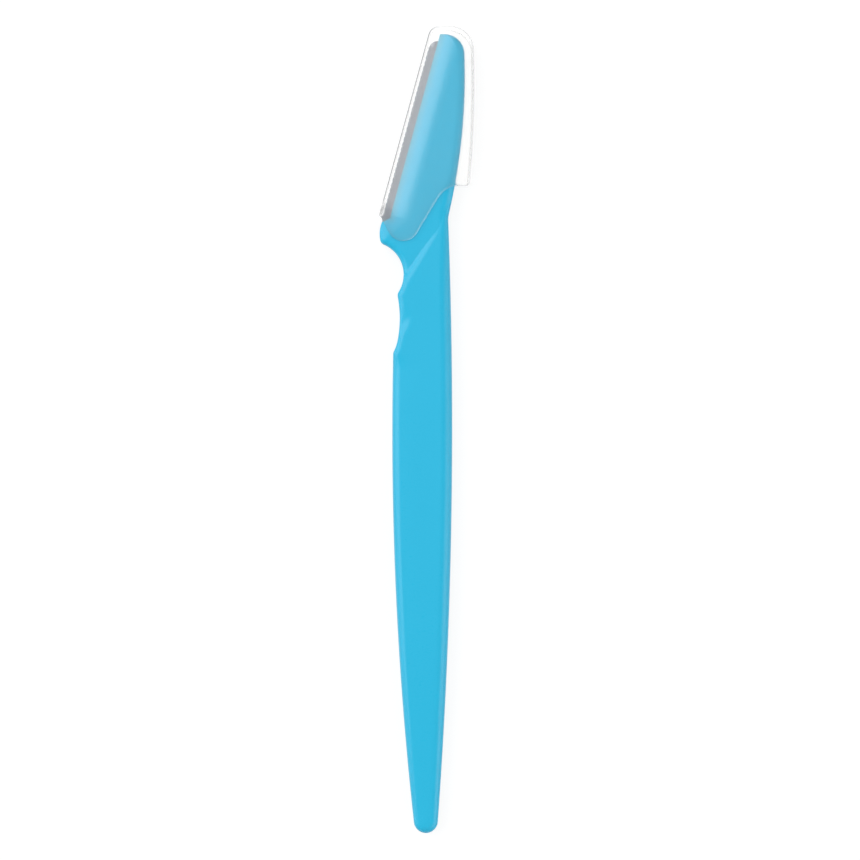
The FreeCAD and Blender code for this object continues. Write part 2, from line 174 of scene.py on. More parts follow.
# Cap: a thin shell over the head, with a tongue on each face. Its faces slope down to the blade's edge.
CAP_WALL = 0.55
CAP_TOP_WALL = 0.85
CAP_ROUND = 0.4
CAP_RIM_SHARE = 2.0             # breadth of the cap's rounded edge, of its depth
CAP_TINT_REACH = 0.50           # how far in from its outline the painted shade, the painted highlight and the darker shadow reach
CAP_EDGE_GAP = 0.2              # from the blade's edge to the inside of the cap
CAP_FOOT_RUN = 1.0              # foot of the edge wall, along the edge from the heel
CAP_INNER_FOOT = HEEL + (CAP_FOOT_RUN - CAP_EDGE_GAP) * ALONG - CAP_EDGE_GAP * INWARD
CAP_TOP_Y = cad_box[1][1] / MM
CAP_TIP_ROUND = 2.0
CAP_CROWN_OVERHANG = 1.2
CAP_CROWN_X = CROWN_BACK[0] + CAP_CROWN_OVERHANG + CAP_WALL
CAP_CROWN_ROUND = 4.6
CAP_SIDE_BOW = 0.54
CAP_MOUTH_X = 8.14
CAP_MOUTH_RISE = 6.9
CAP_MOUTH = np.array((CAP_MOUTH_X, HEEL_Y + CAP_MOUTH_RISE))
CAP_SLOPE = math.radians(20.0)
CAP_SLOPE_DEPTH = LIP_DEPTH + BEVEL_RUN
CAP_SLOPE_RADIUS = 8.8
CAP_SLOPE_RUN = 0.3             # along the edge from the heel, where the slope starts to grow
CAP_SLOPE_GROWTH = 4.0          # stretch over which it does
TONGUE_REACH = 3.84
TONGUE_FALL = 7.0
TONGUE_TIP = HEEL + (TONGUE_REACH, -TONGUE_FALL)
TONGUE_LEAN = math.radians(31.2)
TONGUE_SHOULDER_ROUND = 5.0
TONGUE_TIP_ROUND = 3.0

# Spacing of points on plan paths
FINE_STEP = 0.06
MOUTH_STEP = 0.05
SHORT_STEP = 0.1
LONG_STEP = 0.25
BEND_POINTS = 16
TAIL_POINTS = 40

# Rows and points of the handle's surface
TAIL_ROWS = 18
GRIP_ROWS = 84
NOTCH_ROWS = 100
NECK_ROWS = 100
SHELF_ROWS = 8
LOW_HEAD_ROWS = 80
HIGH_HEAD_ROWS = 84
ABOVE_RIDGE = 0.6               # the row above the ridge
HEEL_ROW_FALL = 5.6             # from the heel down to the spine's end of its row
LIP_ROW_FALL = 4.7              # the same for the row at the start of the lip
LOW_HEAD_RUN = 8.0              # from there up the lip to a row of even slant
LOW_HEAD_RISE = 4.2             # from the heel up to that row's end on the spine
HANDLE_BAND = 2.0               # width beside each edge in which points crowd
HANDLE_CROWDED = 13
HANDLE_EVEN = 61
HANDLE_WALL_POINTS = 6

# Rows and points of the cap's surface
TONGUE_ROWS = 40
OPEN_ROWS = 40
SHOULDER_ROWS = 12
SLEEVE_ROWS = 160
SHOULDER_SLACK = 0.001          # how near to the mouth's level the tongue's shoulder ends
SHOULDER_ROW_RISE = 0.3         # from the mouth's level up to the edge's end of the shoulder's row
MOUTH_ROW_RISE = 0.8            # the same for the mouth's row
CAP_BAND = 1.1
CAP_CROWDED = 16
CAP_EVEN = 31
CAP_WALL_POINTS = 8

# Meshes
MOST_BAND_SHARE = 0.35          # of a row, for the band at each of its ends
PLACES_AT_ONCE = 4000
JOIN_GAP = 0.0002
SHARP_ANGLE = math.radians(50.0)

# Colours and finishes. A pair for roughness runs over the pattern in the gloss, from low to high.
BLUE_DEEP = (0.016, 0.520, 0.800)
BLUE_LIGHT = (0.020, 0.535, 0.825)
# painted sheen: a paler, greyer blue along the lip, for its highlight and the steel's reflection there
BLUE_PAINTED_SHEEN_AT_LIP = (0.12, 0.47, 0.64)
BLUE_ROUGHNESS = (0.26, 0.30)
BLUE_REFRACTION = 1.49
BLUE_CLOUD_SCALE = 90.0
BLUE_GRAIN_SCALE = 5200.0
BLUE_RIPPLE_SCALE = 260.0
BLUE_RIPPLE_STRETCH = (1.0, 0.25, 1.0)
BLUE_RIPPLE_HEIGHT = 0.02
BLUE_RIPPLE_STRENGTH = 0.04
BLADE_COLOUR = (0.34, 0.36, 0.40)
BLADE_ROUGHNESS = (0.22, 0.38)
GUARD_COLOUR = (0.36, 0.38, 0.42)
GUARD_ROUGHNESS = (0.25, 0.40)
STEEL_DARK_SHARE = 0.93
STEEL_LINE_SCALE = 9000.0
STEEL_LINE_STRETCH = (1.0, 0.03, 1.0)
STEEL_CLOUD_SCALE = 300.0
CLEAR_COLOUR = (0.999, 0.997, 0.991)
# painted shade: a grey tint along the cap's edge wall and top, for the darker refraction at its rim
CLEAR_PAINTED_SHADE_AT_RIM = (0.89, 0.89, 0.89)
CLEAR_ROUGHNESS = (0.22, 0.28)
CLEAR_REFRACTION = 1.46
CLEAR_HAZE_SCALE = 400.0
CLEAR_PAINTED_SHADE_FULL_SHARE = 0.5           # nearness to the rim from which its painted shade is full
CLEAR_PASS_AT_PAINTED_HIGHLIGHT = 0.97        # of the light that goes through at the tongue's edge, so that a painted highlight shows there
CLEAR_PASSES = (0.945, 0.945, 0.94)
CLEAR_PASSES_AT_EDGE = (0.72, 0.72, 0.72)

# Floor, lights and camera, in metres
FLOOR_HALF = 1.5
FLOOR_COLOUR = (0.20, 0.20, 0.20, 1.0)
FLOOR_GLOW = 0.86
FLOOR_GLOW_THROUGH_CAP = 0.98
LAMP_POWER = 2.29               # watts per square metre of a lamp, at a brightness of 1
LAMPS = (
    # name, place, width, height, brightness
    ("key", (-0.63, 0.35, 0.695), 1.30, 0.93, 2.5),
    ("fill", (0.70, -0.45, 0.50), 1.20, 0.50, 2.2),
    ("panel", (0.0, 0.35, 1.50), 0.80, 0.80, 0.6),
    ("low_left", (-0.95, 0.10, 0.16), 1.60, 0.26, 2.2),
    ("low_right", (0.95, -0.10, 0.16), 1.60, 0.26, 2.0),
)
SURROUND_STRENGTH = 0.39
LENS = 250.0
SENSOR = 36.0
SIGHT = 10.0


def link(piece):
    """Put an object into the scene."""
    bpy.context.scene.collection.objects.link(piece)
    return piece


# Paths in plan

def arc(start, end, bow, step):
    """Points about a step apart on the circular arc from start to end that stands off its chord by bow,
    to the left of travel. With half angle a = 2 atan(2 bow / chord) and radius R = chord / (2 sin a), the
    point at turn t lies R sin t along the chord from its middle, and R (cos t - cos a) off it."""
    chord = np.linalg.norm(end - start)
    ahead = (end - start) / chord
    left = np.array((-ahead[1], ahead[0]))
    half = 2 * math.atan(2 * bow / chord)
    radius = chord / (2 * math.sin(half))
    turn = np.linspace(-half, half, int(chord / step) + 2)[:, None]
    return (start + end) / 2 + ahead * radius * np.sin(turn) + left * radius * (np.cos(turn) - math.cos(half))


def straight(start, end, step):
    """Points about a step apart on a straight line."""
    share = np.linspace(0.0, 1.0, int(np.linalg.norm(end - start) / step) + 2)[:, None]
    return start + (end - start) * share


def travelled(path):
    """Distance along a path at each of its points."""
    steps = np.linalg.norm(np.diff(path, axis=0), axis=1)
    return np.concatenate(([0.0], np.cumsum(steps)))


def places_on(path, distances):
    """Points of a path at some distances along it."""
    along_path = travelled(path)
    return np.stack([np.interp(distances, along_path, path[:, axis]) for axis in (0, 1)], axis=-1)


def level_on(path, y):
    """Distance along a rising path where it reaches a level."""
    return np.interp(y, path[:, 1], travelled(path))


def cut_short(path, distance):
    """The path without its last stretch of some length."""
    along_path = travelled(path)
    last = along_path[-1] - distance
    return places_on(path, np.append(along_path[along_path < last], last))


def rounded(before, after, radius):
    """Two paths that meet at a corner, joined by a round. A circle of that radius touches straight sides
    at radius tan(turn / 2) from their corner. Between those points the path is the conic that has the
    corner as its pole and cos(turn / 2) as its weight, which is that circle."""
    corner = after[0]
    heading_in = before[-1] - before[-2]
    heading_out = after[1] - after[0]
    turn = math.acos(heading_in @ heading_out / np.linalg.norm(heading_in) / np.linalg.norm(heading_out))
    reach = radius * math.tan(turn / 2)
    before = cut_short(before, reach)
    after = cut_short(after[::-1], reach)[::-1]
    share = np.linspace(0.0, 1.0, BEND_POINTS)[1:-1, None]
    weights = (1 - share) ** 2, 2 * share * (1 - share) * math.cos(turn / 2), share ** 2
    bend = weights[0] * before[-1] + weights[1] * corner + weights[2] * after[0]
    return np.concatenate((before, bend / sum(weights), after))


def joined(*paths):
    """Paths that follow each other, as one."""
    return np.concatenate([paths[0]] + [path[1:] for path in paths[1:]])


def parted(path, direction):
    """A path in two parts, from both its ends to its point that lies furthest in a direction."""
    split = np.argmax(path @ direction)
    return path[:split + 1], path[split:][::-1]


def nearest_on(path, places):
    """Distance from each place to a path, by its segments next to the nearest of its points."""
    nearest = np.empty(len(places), int)
    for start in range(0, len(places), PLACES_AT_ONCE):
        some = places[start:start + PLACES_AT_ONCE]
        squares = (some[:, None, 0] - path[None, :, 0]) ** 2 + (some[:, None, 1] - path[None, :, 1]) ** 2
        nearest[start:start + PLACES_AT_ONCE] = np.argmin(squares, axis=1)
    gaps = []
    for shift in (-1, 0):
        number = np.clip(nearest + shift, 0, len(path) - 2)
        first = path[number]
        side = path[number + 1] - first
        share = np.clip(((places - first) * side).sum(1) / (side ** 2).sum(1), 0.0, 1.0)[:, None]
        gaps.append(np.linalg.norm(places - first - side * share, axis=1))
    return np.minimum(*gaps)


# Heights

def soft_min(first, second, width):
    """The lower of two heights, with the crease between them rounded where they differ by under a width."""
    share = np.clip(0.5 + 0.5 * (second - first) / width, 0.0, 1.0)
    return second + (first - second) * share - width * share * (1 - share)


def soft_max(first, second, width):
    """The higher of two heights, with the crease between them rounded."""
    return -soft_min(-first, -second, width)


def smooth_step(value):
    """Rises from 0 to 1 as the value does, level at both ends."""
    share = np.clip(value, 0.0, 1.0)
    return share ** 2 * (3 - 2 * share)


def rim_drop(gap, depth, breadth_share):
    """How far a rounded edge lies below its face, at a gap from the wall that it runs into. Its section
    is a quarter of an ellipse."""
    breadth = depth * breadth_share
    share = np.clip(1 - gap / breadth, 0.0, 1.0)
    return depth * (1 - np.sqrt(1 - share ** 2))


# Surfaces

def rows_between(left, right, stations):
    """Ends of rows between two paths. At each station, given by its distance along both paths and the
    number of rows from it to the next one, a row joins the paths, and further rows follow evenly."""
    ends = []
    for path, side in ((left, 0), (right, 1)):
        spans = [
            np.linspace(start[side], end[side], start[2], endpoint=False)
            for start, end in zip(stations, stations[1:])
        ]
        ends.append(places_on(path, np.append(np.concatenate(spans), stations[-1][side])))
    return ends


def lattice(left, right, band, crowded, even):
    """Points on straight rows between places on two sides. Within a band at each end they crowd towards
    the side by 1 - cos of even turns, and between the bands they are evenly spaced."""
    width = np.linalg.norm(right - left, axis=1)[:, None]
    band_share = np.minimum(band / np.maximum(width, band), MOST_BAND_SHARE)
    near_left = band_share * (1 - np.cos(np.linspace(0.0, math.pi / 2, crowded)))
    middle = band_share + (1 - 2 * band_share) * np.linspace(0.0, 1.0, even)[None, 1:-1]
    share = np.hstack((near_left, middle, 1 - near_left[:, ::-1]))[:, :, None]
    return left[:, None] * (1 - share) + right[:, None] * share


def across(plan, height):
    """Places in space over rows in plan, at heights over the middle plane."""
    return np.concatenate((plan, height[:, :, None] + HALF_GRIP), axis=2) * MM


def upright(plan, end, height, levels):
    """Places up or down a wall at one end of the rows, at shares of the height there."""
    return across(np.repeat(plan[:, [end]], len(levels), axis=1), height[:, [end]] * levels)


def closed_rings(name, *surfaces):
    """A mesh from surfaces, each of rings that follow each other. Points that meet are joined, which
    closes a surface where its rings shrink to a point, and seams it to the next one."""
    places = np.concatenate([surface.reshape(-1, 3) for surface in surfaces])
    faces = []
    start = 0
    for surface in surfaces:
        rings, count = surface.shape[:2]
        number = start + np.arange(rings * count).reshape(rings, count)
        following = np.roll(number, -1, axis=1)
        cells = np.stack((number[:-1], following[:-1], following[1:], number[1:]), axis=-1)
        faces.append(cells.reshape(-1, 4))
        start += rings * count
    mesh = bpy.data.meshes.new(name)
    mesh.from_pydata(places, [], np.concatenate(faces))
    shape = bmesh.new()
    shape.from_mesh(mesh)
    bmesh.ops.remove_doubles(shape, verts=shape.verts, dist=JOIN_GAP * MM)
    shape.to_mesh(mesh)
    shape.free()
    mesh.polygons.foreach_set("use_smooth", np.ones(len(mesh.polygons), bool))
    mesh.set_sharp_from_angle(angle=SHARP_ANGLE)
    return link(bpy.data.objects.new(name, mesh))


def mark_near(piece, name, path, reach):
    """Store on each point of a piece how near it lies to a path in plan: 1 on it, 0 past a reach."""
    places = np.empty(3 * len(piece.data.vertices))
    piece.data.vertices.foreach_get("co", places)
    gap = nearest_on(path, places.reshape(-1, 3)[:, :2] / MM)
    mark = piece.data.attributes.new(name, "FLOAT", "POINT")
    mark.data.foreach_set("value", np.clip(1 - gap / reach, 0.0, 1.0))


# Handle

def tail_round(side):
    """Quarter circle from the tip of the tail to one of its sides, -1 for the left and 1 for the right."""
    turn = np.linspace(0.0, math.pi / 2, TAIL_POINTS)[:, None]
    return TAIL_CENTRE + TAIL_RADIUS * np.hstack((side * np.sin(turn), -np.cos(turn)))


def blade_side():
    """Edge of the handle from the tip of the tail up the blade side to the top of the nose. A short arc
    leads from the corner into the lower notch, which it touches: a circle that turns off its chord by
    some angle at the end stands off it by half the chord times the tangent of half that angle."""
    lower_notch = arc(NOTCH_START, RIDGE, LOWER_NOTCH_BOW, FINE_STEP)
    out_of_notch = lower_notch[0] - lower_notch[1]
    chord = CORNER - NOTCH_START
    turn = math.atan2(out_of_notch[0] * chord[1] - out_of_notch[1] * chord[0], out_of_notch @ chord)
    lead = arc(CORNER, NOTCH_START, np.linalg.norm(chord) / 2 * math.tan(turn / 2), FINE_STEP)
    path = joined(tail_round(-1), arc(TAIL_LEFT, CORNER, GRIP_BOW, LONG_STEP))
    path = rounded(path, joined(lead, lower_notch), CORNER_ROUND)
    path = rounded(path, arc(RIDGE, NOSE, UPPER_NOTCH_BOW, FINE_STEP), RIDGE_ROUND)
    return rounded(path, arc(NOSE, HEEL_OUTER, NOSE_BOW, FINE_STEP), NOSE_ROUND)


def spine_side():
    """Edge of the handle from the tip of the tail up the spine and over the crown to the head's lip."""
    path = joined(tail_round(1), arc(TAIL_RIGHT, NECK, SPINE_BOW, LONG_STEP))
    path = rounded(path, arc(NECK, CROWN_BACK, HEAD_BOW, LONG_STEP), NECK_CORNER_ROUND)
    return rounded(path, straight(CROWN_BACK, CROWN_FRONT, FINE_STEP), CROWN_ROUND)


def half_thickness(y):
    """Half the grip's thickness at a level: full down to the taper, and less along an arc to the tail."""
    drop = HALF_GRIP - HALF_TAIL
    radius = (TAPER_LENGTH ** 2 + drop ** 2) / (2 * drop)
    station = np.clip(TAIL_CENTRE[1] + TAPER_LENGTH - y, 0.0, TAPER_LENGTH)
    return HALF_GRIP - radius + np.sqrt(radius ** 2 - station ** 2)


def slab_height(places, past_step, to_blade_edge, to_spine_edge):
    """Height of the grip and the neck at places in plan, of which some lie past the step. Both are slabs
    with rounded edges. The grip's face falls a little towards its blade side, and sinks to the neck's
    level along the step to the spine. The grip ends in a round along the step, and the higher of the
    two shows."""
    y = places[:, 1]
    full = half_thickness(y)
    full_round = GRIP_ROUND_SHARE * full
    at_notches = smooth_step((y - CORNER_Y + ROUND_BLEND) / ROUND_BLEND)
    blade_round = BLADE_ROUND_SHARE * full * (1 - at_notches) + NECK_ROUND * at_notches
    blade_rim_share = BLADE_RIM_SHARE + (NOTCH_RIM_SHARE - BLADE_RIM_SHARE) * at_notches
    at_blade_edge = rim_drop(to_blade_edge, blade_round, blade_rim_share)

    along_step = (places - STEP_CROSSING) @ (math.sin(STEP_SLANT), math.cos(STEP_SLANT))
    sink = (HALF_GRIP - HALF_HEAD) * smooth_step((along_step + STEP_SINK_START) / STEP_SINK_RUN)
    sunk_round = full_round - sink
    camber = rim_drop(to_blade_edge, CAMBER_DEPTH, CAMBER_BREADTH / CAMBER_DEPTH) * (1 - at_notches)
    grip_edges = np.maximum(at_blade_edge, rim_drop(to_spine_edge, sunk_round, SPINE_RIM_SHARE))
    grip = full - sink - np.minimum(grip_edges + camber, sunk_round)

    level_round = full_round - HALF_GRIP + HALF_HEAD
    spine_round = level_round + (NECK_ROUND - level_round) * smooth_step(past_step / NECK_ROUND_BLEND)
    neck = HALF_HEAD - np.maximum(at_blade_edge, rim_drop(to_spine_edge, spine_round, HEAD_RIM_SHARE))

    step_end = rim_drop(STEP_ROUND - STEP_CREST - past_step, STEP_ROUND, 1.0)
    step_end = np.where(past_step > STEP_ROUND - STEP_CREST, HALF_GRIP, step_end)
    height = np.minimum(grip, HALF_GRIP - sink - step_end)
    return np.where(past_step < -STEP_CREST, grip, soft_max(height, neck, STEP_FOOT))


def dent_height(places):
    """Height of the dent's two slopes, a steep one and a gentle one, which meet in a valley."""
    from_tip = places - DENT_TIP
    to_ridge = (RIDGE - DENT_TIP) / np.linalg.norm(RIDGE - DENT_TIP)
    steep = from_tip @ (-math.cos(DENT_SLANT), math.sin(DENT_SLANT))
    gentle = from_tip @ (-to_ridge[1], to_ridge[0])
    return soft_max(HALF_GRIP - DENT_DROP_SHARE * steep, HALF_GRIP - DENT_FLOOR_SHARE * gentle, DENT_VALLEY)


def handle_height(places, blade_edge, spine_edge):
    """Height of the handle's face over its middle plane, at places in plan: the lower of the slabs and the
    dent below the step. On the head it is no higher than the bevel, an arc from the lip up to the flat,
    or than a slope that rises in from the nose's edge and down from the heel, whichever is higher."""
    past_step = (places - STEP_CROSSING) @ (-math.cos(STEP_SLANT), math.sin(STEP_SLANT))
    to_edges = [nearest_on(edge, places) for edge in (blade_edge, spine_edge)]
    height = slab_height(places, past_step, *to_edges)
    height = np.where(past_step < 0, soft_min(height, dent_height(places), DENT_CREST), height)

    run = (places - HEEL) @ ALONG
    depth = (places - HEEL) @ INWARD - LIP_DEPTH
    drop = HALF_HEAD - LIP_HALF
    radius = (BEVEL_RUN ** 2 + drop ** 2) / (2 * drop)
    swell = HALF_HEAD - radius + np.sqrt(radius ** 2 - np.clip(BEVEL_RUN - depth, 0.0, radius) ** 2)
    swell = np.where(depth > BEVEL_RUN, HALF_GRIP, swell)
    nose = LIP_HALF + NOSE_RISE_SHARE * (depth + LIP_DEPTH) - run / NOSE_RUN_SHARE
    return np.maximum(np.minimum(height, swell), soft_min(height, nose, NOSE_CREASE))


def handle_rows(blade_edge, spine_edge):
    """Ends of the rows that cover the handle's plan, from the tip of the tail to the head's lip."""
    shelf = straight(HEEL_OUTER, HEEL_INNER, SHORT_STEP)
    left = joined(blade_edge, shelf, straight(HEEL_INNER, CROWN_FRONT, LONG_STEP))
    heel_outer = travelled(blade_edge)[-1]
    heel_inner = heel_outer + travelled(shelf)[-1]
    quarter = TAIL_RADIUS * math.pi / 2
    rising = spine_edge[:np.argmax(spine_edge[:, 1])]

    below_corner = CORNER_Y - ROUND_BLEND
    above_ridge = RIDGE_Y + ABOVE_RIDGE
    return rows_between(left, spine_edge, [
        (0.0, 0.0, TAIL_ROWS),
        (quarter, quarter, GRIP_ROWS),
        (level_on(blade_edge, below_corner), level_on(rising, below_corner), NOTCH_ROWS),
        (level_on(blade_edge, above_ridge), level_on(rising, above_ridge), NECK_ROWS),
        (heel_outer, level_on(rising, HEEL_Y - HEEL_ROW_FALL), SHELF_ROWS),
        (heel_inner, level_on(rising, HEEL_Y - LIP_ROW_FALL), LOW_HEAD_ROWS),
        (heel_inner + LOW_HEAD_RUN, level_on(rising, HEEL_Y + LOW_HEAD_RISE), HIGH_HEAD_ROWS),
        (travelled(left)[-1], travelled(spine_edge)[-1], 1),
    ])


def handle():
    """The moulding, as closed rings carried from the tail to the head. Each ring runs across the shown
    face, down the spine's wall, back across the other face, which mirrors the first, and up the wall on
    the blade side."""
    blade_edge = blade_side()
    spine_edge = spine_side()
    rows = handle_rows(blade_edge, spine_edge)
    plan = lattice(*rows, HANDLE_BAND, HANDLE_CROWDED, HANDLE_EVEN)
    height = handle_height(plan.reshape(-1, 2), blade_edge, spine_edge).reshape(plan.shape[:2])
    levels = np.linspace(1.0, -1.0, HANDLE_WALL_POINTS)[1:-1]
    rings = [
        across(plan, height),
        upright(plan, -1, height, levels),
        across(plan, -height)[:, ::-1],
        upright(plan, 0, height, -levels),
    ]
    moulding = closed_rings("razor_handle", np.concatenate(rings, axis=1))
    # store where the painted sheen along the lip goes
    mark_near(moulding, "lip", straight(HEEL_INNER, CROWN_FRONT, LONG_STEP), LIP_SHEEN_REACH)
    return moulding


# Cap

def sleeve_edge(inset):
    """Edge of the cap's sleeve in plan, from the foot of its edge wall over the top to its mouth: the
    outside for an inset of 0, the inside for one of the wall. Both start and end at the same points."""
    top = CAP_TOP_Y - inset * CAP_TOP_WALL / CAP_WALL
    foot = HEEL + CAP_FOOT_RUN * ALONG - (CAP_EDGE_GAP + CAP_WALL - inset) * INWARD
    tip = foot + ALONG * (top - foot[1]) / ALONG[1]
    crown = np.array((CAP_CROWN_X - inset, top))
    side = arc(crown, CAP_MOUTH - (inset, 0.0), CAP_SIDE_BOW, LONG_STEP)
    path = joined(straight(CAP_INNER_FOOT, foot, SHORT_STEP), straight(foot, tip, LONG_STEP))
    path = rounded(path, straight(tip, crown, SHORT_STEP), CAP_TIP_ROUND - inset)
    path = rounded(path, side, CAP_CROWN_ROUND - inset)
    if inset == 0.0:
        path = rounded(path, straight(CAP_MOUTH, CAP_MOUTH - (CAP_WALL, 0.0), MOUTH_STEP), CAP_WALL)
    return path


def tongue_edge():
    """Free edge of the cap's tongue in plan, from the end of the mouth round the tongue to the foot."""
    lean = np.array((math.sin(TONGUE_LEAN), math.cos(TONGUE_LEAN)))
    shoulder = TONGUE_TIP + lean * (CAP_MOUTH[1] - TONGUE_TIP[1]) / lean[1]
    path = straight(CAP_MOUTH - (CAP_WALL, 0.0), shoulder, SHORT_STEP)
    path = rounded(path, straight(shoulder, TONGUE_TIP, SHORT_STEP), TONGUE_SHOULDER_ROUND)
    return rounded(path, straight(TONGUE_TIP, CAP_INNER_FOOT, SHORT_STEP), TONGUE_TIP_ROUND)


def cap_face(places):
    """Height of the cap's face over the middle plane, without its rounded edges: level, and from a line
    along the blade bent down by an arc into an even slope. The slope fades out towards the heel."""
    run = (places - HEEL) @ ALONG
    reach = np.maximum(CAP_SLOPE_DEPTH - (places - HEEL) @ INWARD, 0.0)
    bend = CAP_SLOPE_RADIUS * math.sin(CAP_SLOPE)
    fall = CAP_SLOPE_RADIUS - np.sqrt(CAP_SLOPE_RADIUS ** 2 - np.minimum(reach, bend) ** 2)
    fall = fall + np.maximum(reach - bend, 0.0) * math.tan(CAP_SLOPE)
    return HALF_GRIP - fall * smooth_step((run - CAP_SLOPE_RUN) / CAP_SLOPE_GROWTH)


def cap_plan(inset):
    """Rows of points over the cap's plan, from the tongue's end to the corner at the tip: the outside for
    an inset of 0, the inside for one of the wall."""
    free_edge, tongue_side = [part[::-1] for part in parted(tongue_edge(), (0.0, -1.0))]
    edge_side, spine_side_up = parted(sleeve_edge(inset), (-1.0, 1.0))
    left = joined(tongue_side, edge_side)
    right = joined(free_edge, spine_side_up)
    foot = travelled(tongue_side)[-1]
    mouth = travelled(free_edge)[-1]
    mouth_y = CAP_MOUTH[1]
    shoulder = travelled(free_edge)[np.argmax(free_edge[:, 1] > mouth_y - SHOULDER_SLACK)]
    rows = rows_between(left, right, [
        (0.0, 0.0, TONGUE_ROWS),
        (foot, level_on(free_edge, CAP_INNER_FOOT[1]), OPEN_ROWS),
        (foot + level_on(edge_side, mouth_y + SHOULDER_ROW_RISE), shoulder, SHOULDER_ROWS),
        (foot + level_on(edge_side, mouth_y + MOUTH_ROW_RISE), mouth, SLEEVE_ROWS),
        (travelled(left)[-1], travelled(right)[-1], 1),
    ])
    return lattice(*rows, CAP_BAND, CAP_CROWDED, CAP_EVEN)


def cap():
    """The clear cap, as three kinds of rings between the tongue's end and the corner at the tip, all on
    the same rows. Up to the foot of the edge wall, each face has a ring round its tongue. From there to
    the mouth, one ring runs round both faces and the edge wall. Above the mouth, one ring runs round the
    outside and another round the inside. Where two kinds meet, they share their points."""
    plans = cap_plan(0.0), cap_plan(CAP_WALL)
    outer, inner = plans
    outline = np.concatenate((sleeve_edge(0.0), tongue_edge()[1:]))
    rim = rim_drop(nearest_on(outline, outer.reshape(-1, 2)), CAP_ROUND, CAP_RIM_SHARE)
    rim = rim.reshape(outer.shape[:2])
    base, under = [cap_face(plan.reshape(-1, 2)).reshape(plan.shape[:2]) - CAP_WALL for plan in plans]
    over = base + CAP_WALL - rim
    levels = np.linspace(1.0, -1.0, CAP_WALL_POINTS)
    mouth_row = TONGUE_ROWS + OPEN_ROWS + SHOULDER_ROWS
    tongues = slice(0, TONGUE_ROWS + 1)
    open_part = slice(TONGUE_ROWS, mouth_row + 1)
    sleeve_part = slice(mouth_row, None)

    def face(rows, side):
        """Outside and inside of one face, side 1 for the shown one and -1 for the other."""
        return [across(outer[rows], side * over[rows]), across(inner[rows], side * under[rows])[:, ::-1]]

    def wall(rows, end, way):
        """Outside of the wall at one end of the rows, way 1 for down and -1 for up."""
        return upright(outer[rows], end, base[rows], way * levels)

    def inner_wall(rows, end, way):
        """Inside of that wall, without the points that it shares with the faces."""
        return upright(inner[rows], end, under[rows], way * levels[1:-1])

    def ring(*strips):
        """Strips that follow each other round a ring."""
        return np.concatenate(strips, axis=1)

    front, front_inside = face(sleeve_part, 1)
    back, back_inside = face(sleeve_part, -1)
    shell = closed_rings(
        "razor_cap",
        ring(*face(tongues, 1)),
        ring(*face(tongues, -1))[:, ::-1],
        ring(
            *face(open_part, 1), inner_wall(open_part, 0, 1),
            *[strip[:, ::-1] for strip in face(open_part, -1)[::-1]], wall(open_part, 0, -1),
        ),
        ring(front, wall(sleeve_part, -1, 1), back[:, ::-1], wall(sleeve_part, 0, -1)),
        ring(
            front_inside, inner_wall(sleeve_part, 0, 1),
            back_inside[:, ::-1], inner_wall(sleeve_part, -1, -1),
        ),
    )
    edge_and_top = parted(sleeve_edge(0.0), (1.0, 1.0))[0]
    # store where the painted shade along the edge wall and top goes
    mark_near(shell, "rim", edge_and_top, CAP_TINT_REACH)
    mark_near(shell, "edge", outline, CAP_TINT_REACH)
    # store where the painted highlight along the tongue's edge goes
    mark_near(shell, "painted_edge_highlight", tongue_edge(), CAP_TINT_REACH)
    return shell


# Materials

def new_material(name):
    """An empty node material, its tree and its output node."""
    material = bpy.data.materials.new(name)
    material.use_nodes = True
    tree = material.node_tree
    tree.nodes.clear()
    return material, tree, tree.nodes.new("ShaderNodeOutputMaterial")


def node(tree, kind, settings=None, **inputs):
    """A shader node with its settings, its plain inputs set and its linked inputs joined."""
    made = tree.nodes.new("ShaderNode" + kind)
    for key, value in (settings or {}).items():
        setattr(made, key, value)
    for key, value in inputs.items():
        socket = made.inputs[key.replace("_", " ")]
        if isinstance(value, bpy.types.NodeSocket):
            tree.links.new(value, socket)
        else:
            socket.default_value = value
    return made


def object_position(tree, scale=(1.0, 1.0, 1.0), turn=0.0):
    """The place on a piece in its own frame, stretched and turned about the upright axis."""
    place = node(tree, "TexCoord").outputs["Object"]
    mapping = node(tree, "Mapping", Vector=place, Scale=scale, Rotation=(0.0, 0.0, turn))
    return mapping.outputs["Vector"]


def stored(tree, name):
    """A number that is stored on the points of a piece."""
    return node(tree, "Attribute", {"attribute_name": name}).outputs["Fac"]


def blend_of(tree, factor, low, high):
    """A colour between two colours, of which the first may be a socket."""
    mix = node(tree, "Mix", {"data_type": "RGBA"})
    tree.links.new(factor, mix.inputs["Factor"])
    if isinstance(low, bpy.types.NodeSocket):
        tree.links.new(low, mix.inputs[6])
    else:
        mix.inputs[6].default_value = (*low, 1.0)
    mix.inputs[7].default_value = (*high, 1.0)
    return mix.outputs[2]


def spread_of(tree, factor, low, high):
    """A number between two numbers."""
    ranged = node(tree, "MapRange", Value=factor, To_Min=low, To_Max=high)
    return ranged.outputs["Result"]


